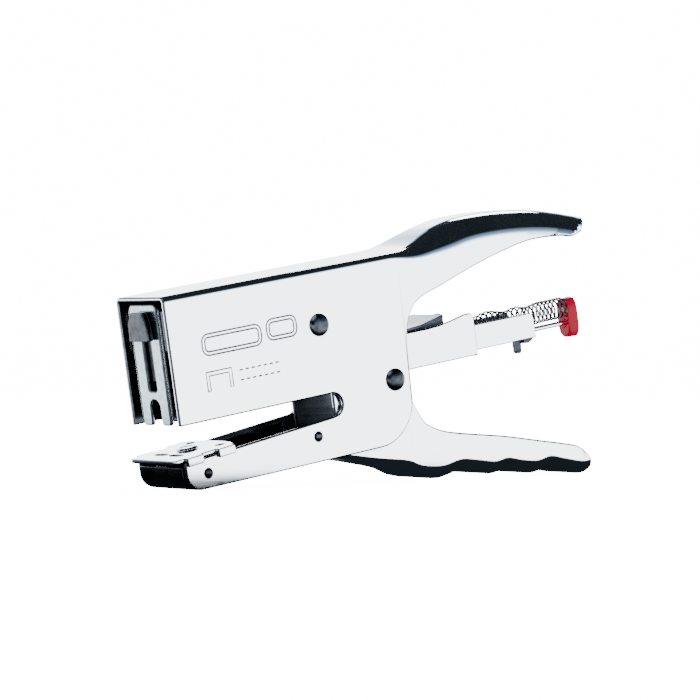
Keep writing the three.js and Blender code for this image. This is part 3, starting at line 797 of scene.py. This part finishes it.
def shade_anvil_pockets():
    """The clinching pockets and the rear notches get painted shade: the dark inside material on
    their recessed faces.
    """
    pocket_x, notch_x, notch_y = 3, 15.6, 7.4
    up, to_head = along(0, 0, 1), TO_ROW.inverted()
    for face in bpy.data.objects["anvil_plate_fine"].data.polygons:
        x, y, _ = to_head @ face.center
        pocket = abs(x - pocket_x) < 1.3 and 0.3 < abs(y) < 6.9
        notch = math.hypot(x - notch_x, abs(y) - notch_y) < 1.5
        if (pocket or notch) and -0.5 < face.normal.dot(up) < 0.985:
            face.material_index = SHADED_INSIDE


shade_anvil_pockets()

# ---- Studio ------------------------------------------------------------------------------


WHITE_PANEL = (0.92, 0.96, 1.0)
DARK = (0.002, 0.003, 0.004)
GAP = (0.02, 0.03, 0.04)
PHOTOGRAPHER = (-0.602, -0.798, 0.0)  # where a photographer would stand
FLANK = (0.883, 0.469, 0.0)  # a dark slit between two panels behind
BACKDROP = 16.0  # brightness of the white studio, to the lens
FLOOR_LIFT = 14.88  # what the floor adds to its own light to look the same
FILL = 1.1  # brightness of the light that falls on matt surfaces
REFLECTED = 5.2  # brightness of the panels that the metal reflects


def studio_world():
    """White to the lens. Metal reflects bright panels round the horizon, taller behind than in
    front, with two dark gaps, and a ceiling that is pale over the front half and dark behind."""
    world = bpy.data.worlds.new("studio")
    bpy.context.scene.world = world
    world.use_nodes = True
    tree = world.node_tree
    tree.nodes.clear()

    def add(kind, *inputs, **values):
        node = tree.nodes.new("ShaderNode" + kind)
        for key, value in values.items():
            setattr(node, key, value)
        for k, value in enumerate(inputs):
            if isinstance(value, bpy.types.NodeSocket):
                tree.links.new(value, node.inputs[k])
            elif value is not None:
                node.inputs[k].default_value = value
        return node

    def math_node(operation, a, b):
        return add("Math", a, b, operation=operation).outputs[0]

    def ramp(value, stops):
        node = add("ValToRGB", value)
        elements = node.color_ramp.elements
        while len(elements) < len(stops):
            elements.new(0.5)
        for element, (position, color) in zip(elements, stops):
            element.position, element.color = position, (*color, 1)
        return node.outputs["Color"]

    direction = add("TexCoord").outputs["Generated"]
    split = add("SeparateXYZ", direction)
    behind = add("MapRange", split.outputs["Y"], 0.62, 0.82, 0.0, 0.30).outputs["Result"]
    height = math_node("SUBTRACT", split.outputs["Z"], behind)
    panels = ramp(height, [
        (0.0, WHITE_PANEL), (0.12, WHITE_PANEL), (0.20, (0.50, 0.60, 0.72)),
        (0.30, (0.080, 0.115, 0.165)), (0.44, (0.028, 0.042, 0.066)), (0.50, DARK), (1.0, DARK),
    ])
    front_half = add("MapRange", split.outputs["X"], -0.04, 0.10, 1.0, 0.0).outputs["Result"]
    overhead = add("MapRange", split.outputs["Z"], 0.42, 0.62, 0.0, 1.0).outputs["Result"]
    ceiling = math_node("MULTIPLY", front_half, overhead)
    panels = add("MixRGB", ceiling, panels, (0.62, 0.68, 0.74, 1)).outputs[0]
    stand = add("VectorMath", direction, PHOTOGRAPHER, operation="DOT_PRODUCT")
    gap = ramp(stand.outputs["Value"], [(0.80, (1, 1, 1)), (0.90, GAP)])
    flank = add("VectorMath", direction, FLANK, operation="DOT_PRODUCT")
    slit = ramp(flank.outputs["Value"], [(0.930, (1, 1, 1)), (0.955, GAP)])
    gaps = add("MixRGB", 1.0, gap, slit, blend_type="MULTIPLY").outputs[0]
    reflected_color = add("MixRGB", 1.0, panels, gaps, blend_type="MULTIPLY").outputs[0]
    seen = add("Background", (1, 1, 1, 1), BACKDROP).outputs[0]
    falling = add("Background", (1, 1, 1, 1), FILL).outputs[0]
    reflected = add("Background", reflected_color, REFLECTED).outputs[0]
    path = add("LightPath")
    lit = add("MixShader", path.outputs["Is Glossy Ray"], falling, reflected).outputs[0]
    mixed = add("MixShader", path.outputs["Is Camera Ray"], lit, seen).outputs[0]
    add("OutputWorld", mixed)


def floor():
    """A pale floor, lifted to the backdrop's white. To glossy rays it glows with a painted
    reflection, dark close to the stapler and bright further out.
    """
    half = 4.0
    corners = [(-half, -half, 0), (half, -half, 0), (half, half, 0), (-half, half, 0)]
    obj = new_object("floor", corners, [(0, 1, 2, 3)])
    obj.location.z = -0.0002
    n = Nodes("pale_floor")
    n.set(Roughness=0.9, Specular_IOR_Level=0.0)
    tone = n.ramp(n.noise(3, 2), [(0.3, (0.93, 0.93, 0.93)), (0.7, (0.96, 0.96, 0.96))])
    n.link(tone, n.shader.inputs["Base Color"])
    narrowed = n.add("VectorMath", operation="MULTIPLY")
    narrowed.inputs[1].default_value = (1, 2.2, 1)
    n.link(n.where, narrowed.inputs[0])
    length = n.add("VectorMath", operation="LENGTH")
    n.link(narrowed.outputs[0], length.inputs[0])
    # Painted reflection: what the metal sees of the floor glows, dark close to the stapler, bright
    # further out.
    painted_reflection_tone = n.ramp(length.outputs["Value"], [
        (0.10, DARK), (0.135, (0.02, 0.026, 0.032)),
        (0.18, (0.40, 0.46, 0.52)), (0.25, (0.96, 0.98, 1.0)),
    ])
    painted_reflection_glow = n.add("Emission")
    painted_reflection_glow.inputs["Strength"].default_value = REFLECTED
    n.link(painted_reflection_tone, painted_reflection_glow.inputs["Color"])
    lift = n.add("Emission")
    lift.inputs["Strength"].default_value = FLOOR_LIFT
    lifted = n.add("AddShader")
    n.link(n.shader.outputs[0], lifted.inputs[0])
    n.link(lift.outputs[0], lifted.inputs[1])
    path = n.add("LightPath")
    to_lens = n.add("MixShader")
    n.link(path.outputs["Is Camera Ray"], to_lens.inputs["Fac"])
    n.link(n.shader.outputs[0], to_lens.inputs[1])
    n.link(lifted.outputs[0], to_lens.inputs[2])
    mix = n.add("MixShader")
    n.link(path.outputs["Is Glossy Ray"], mix.inputs["Fac"])
    n.link(to_lens.outputs[0], mix.inputs[1])
    n.link(painted_reflection_glow.outputs[0], mix.inputs[2])
    n.link(mix.outputs[0], n.tree.nodes["Material Output"].inputs["Surface"])
    obj.data.materials.append(n.material)


def softbox(name, position, target, size, power):
    light = bpy.data.lights.new(name, "AREA")
    light.shape, light.size, light.energy = "DISK", size, power
    obj = bpy.data.objects.new(name, light)
    bpy.context.scene.collection.objects.link(obj)
    obj.location = position
    obj.rotation_euler = (Vector(target) - Vector(position)).to_track_quat("-Z", "Y").to_euler()


def camera():
    """A long lens from the front left."""
    # The directions of the head's axes as the lens sees them, and the place of its lower corner.
    seen = np.array([(0.787, -0.168, 0.593), (-0.602, -0.005, 0.798), (-0.131, -0.986, -0.105)])
    u, _, vt = np.linalg.svd(seen)
    head_to_lens = (u @ vt).T
    corner_in_lens = np.array([-47.071, 21.429, 930.615])
    position = np.array([0, -WIDTH / 2, 0]) - head_to_lens.T @ corner_in_lens
    turn = Matrix((head_to_lens.T @ np.diag([1, -1, -1])).tolist())
    pose = Matrix.Translation(Vector(position)) @ turn.to_4x4()
    placed = TO_ROW @ pose
    data = bpy.data.cameras.new("camera")
    data.sensor_width, data.lens = 36.0, 36.0 * 3357 / 700
    data.clip_start, data.clip_end = 0.01, 20
    obj = bpy.data.objects.new("camera", data)
    bpy.context.scene.collection.objects.link(obj)
    obj.matrix_world = Matrix.LocRotScale(placed.translation, placed.to_quaternion(), None)
    bpy.context.scene.camera = obj


studio_world()
floor()
softbox("key", (-0.45, -0.5, 0.75), (0, 0, 0.03), 0.3, 3.0)
softbox("rim", (0.5, 0.45, 0.6), (0, 0, 0.03), 0.25, 1.5)
camera()
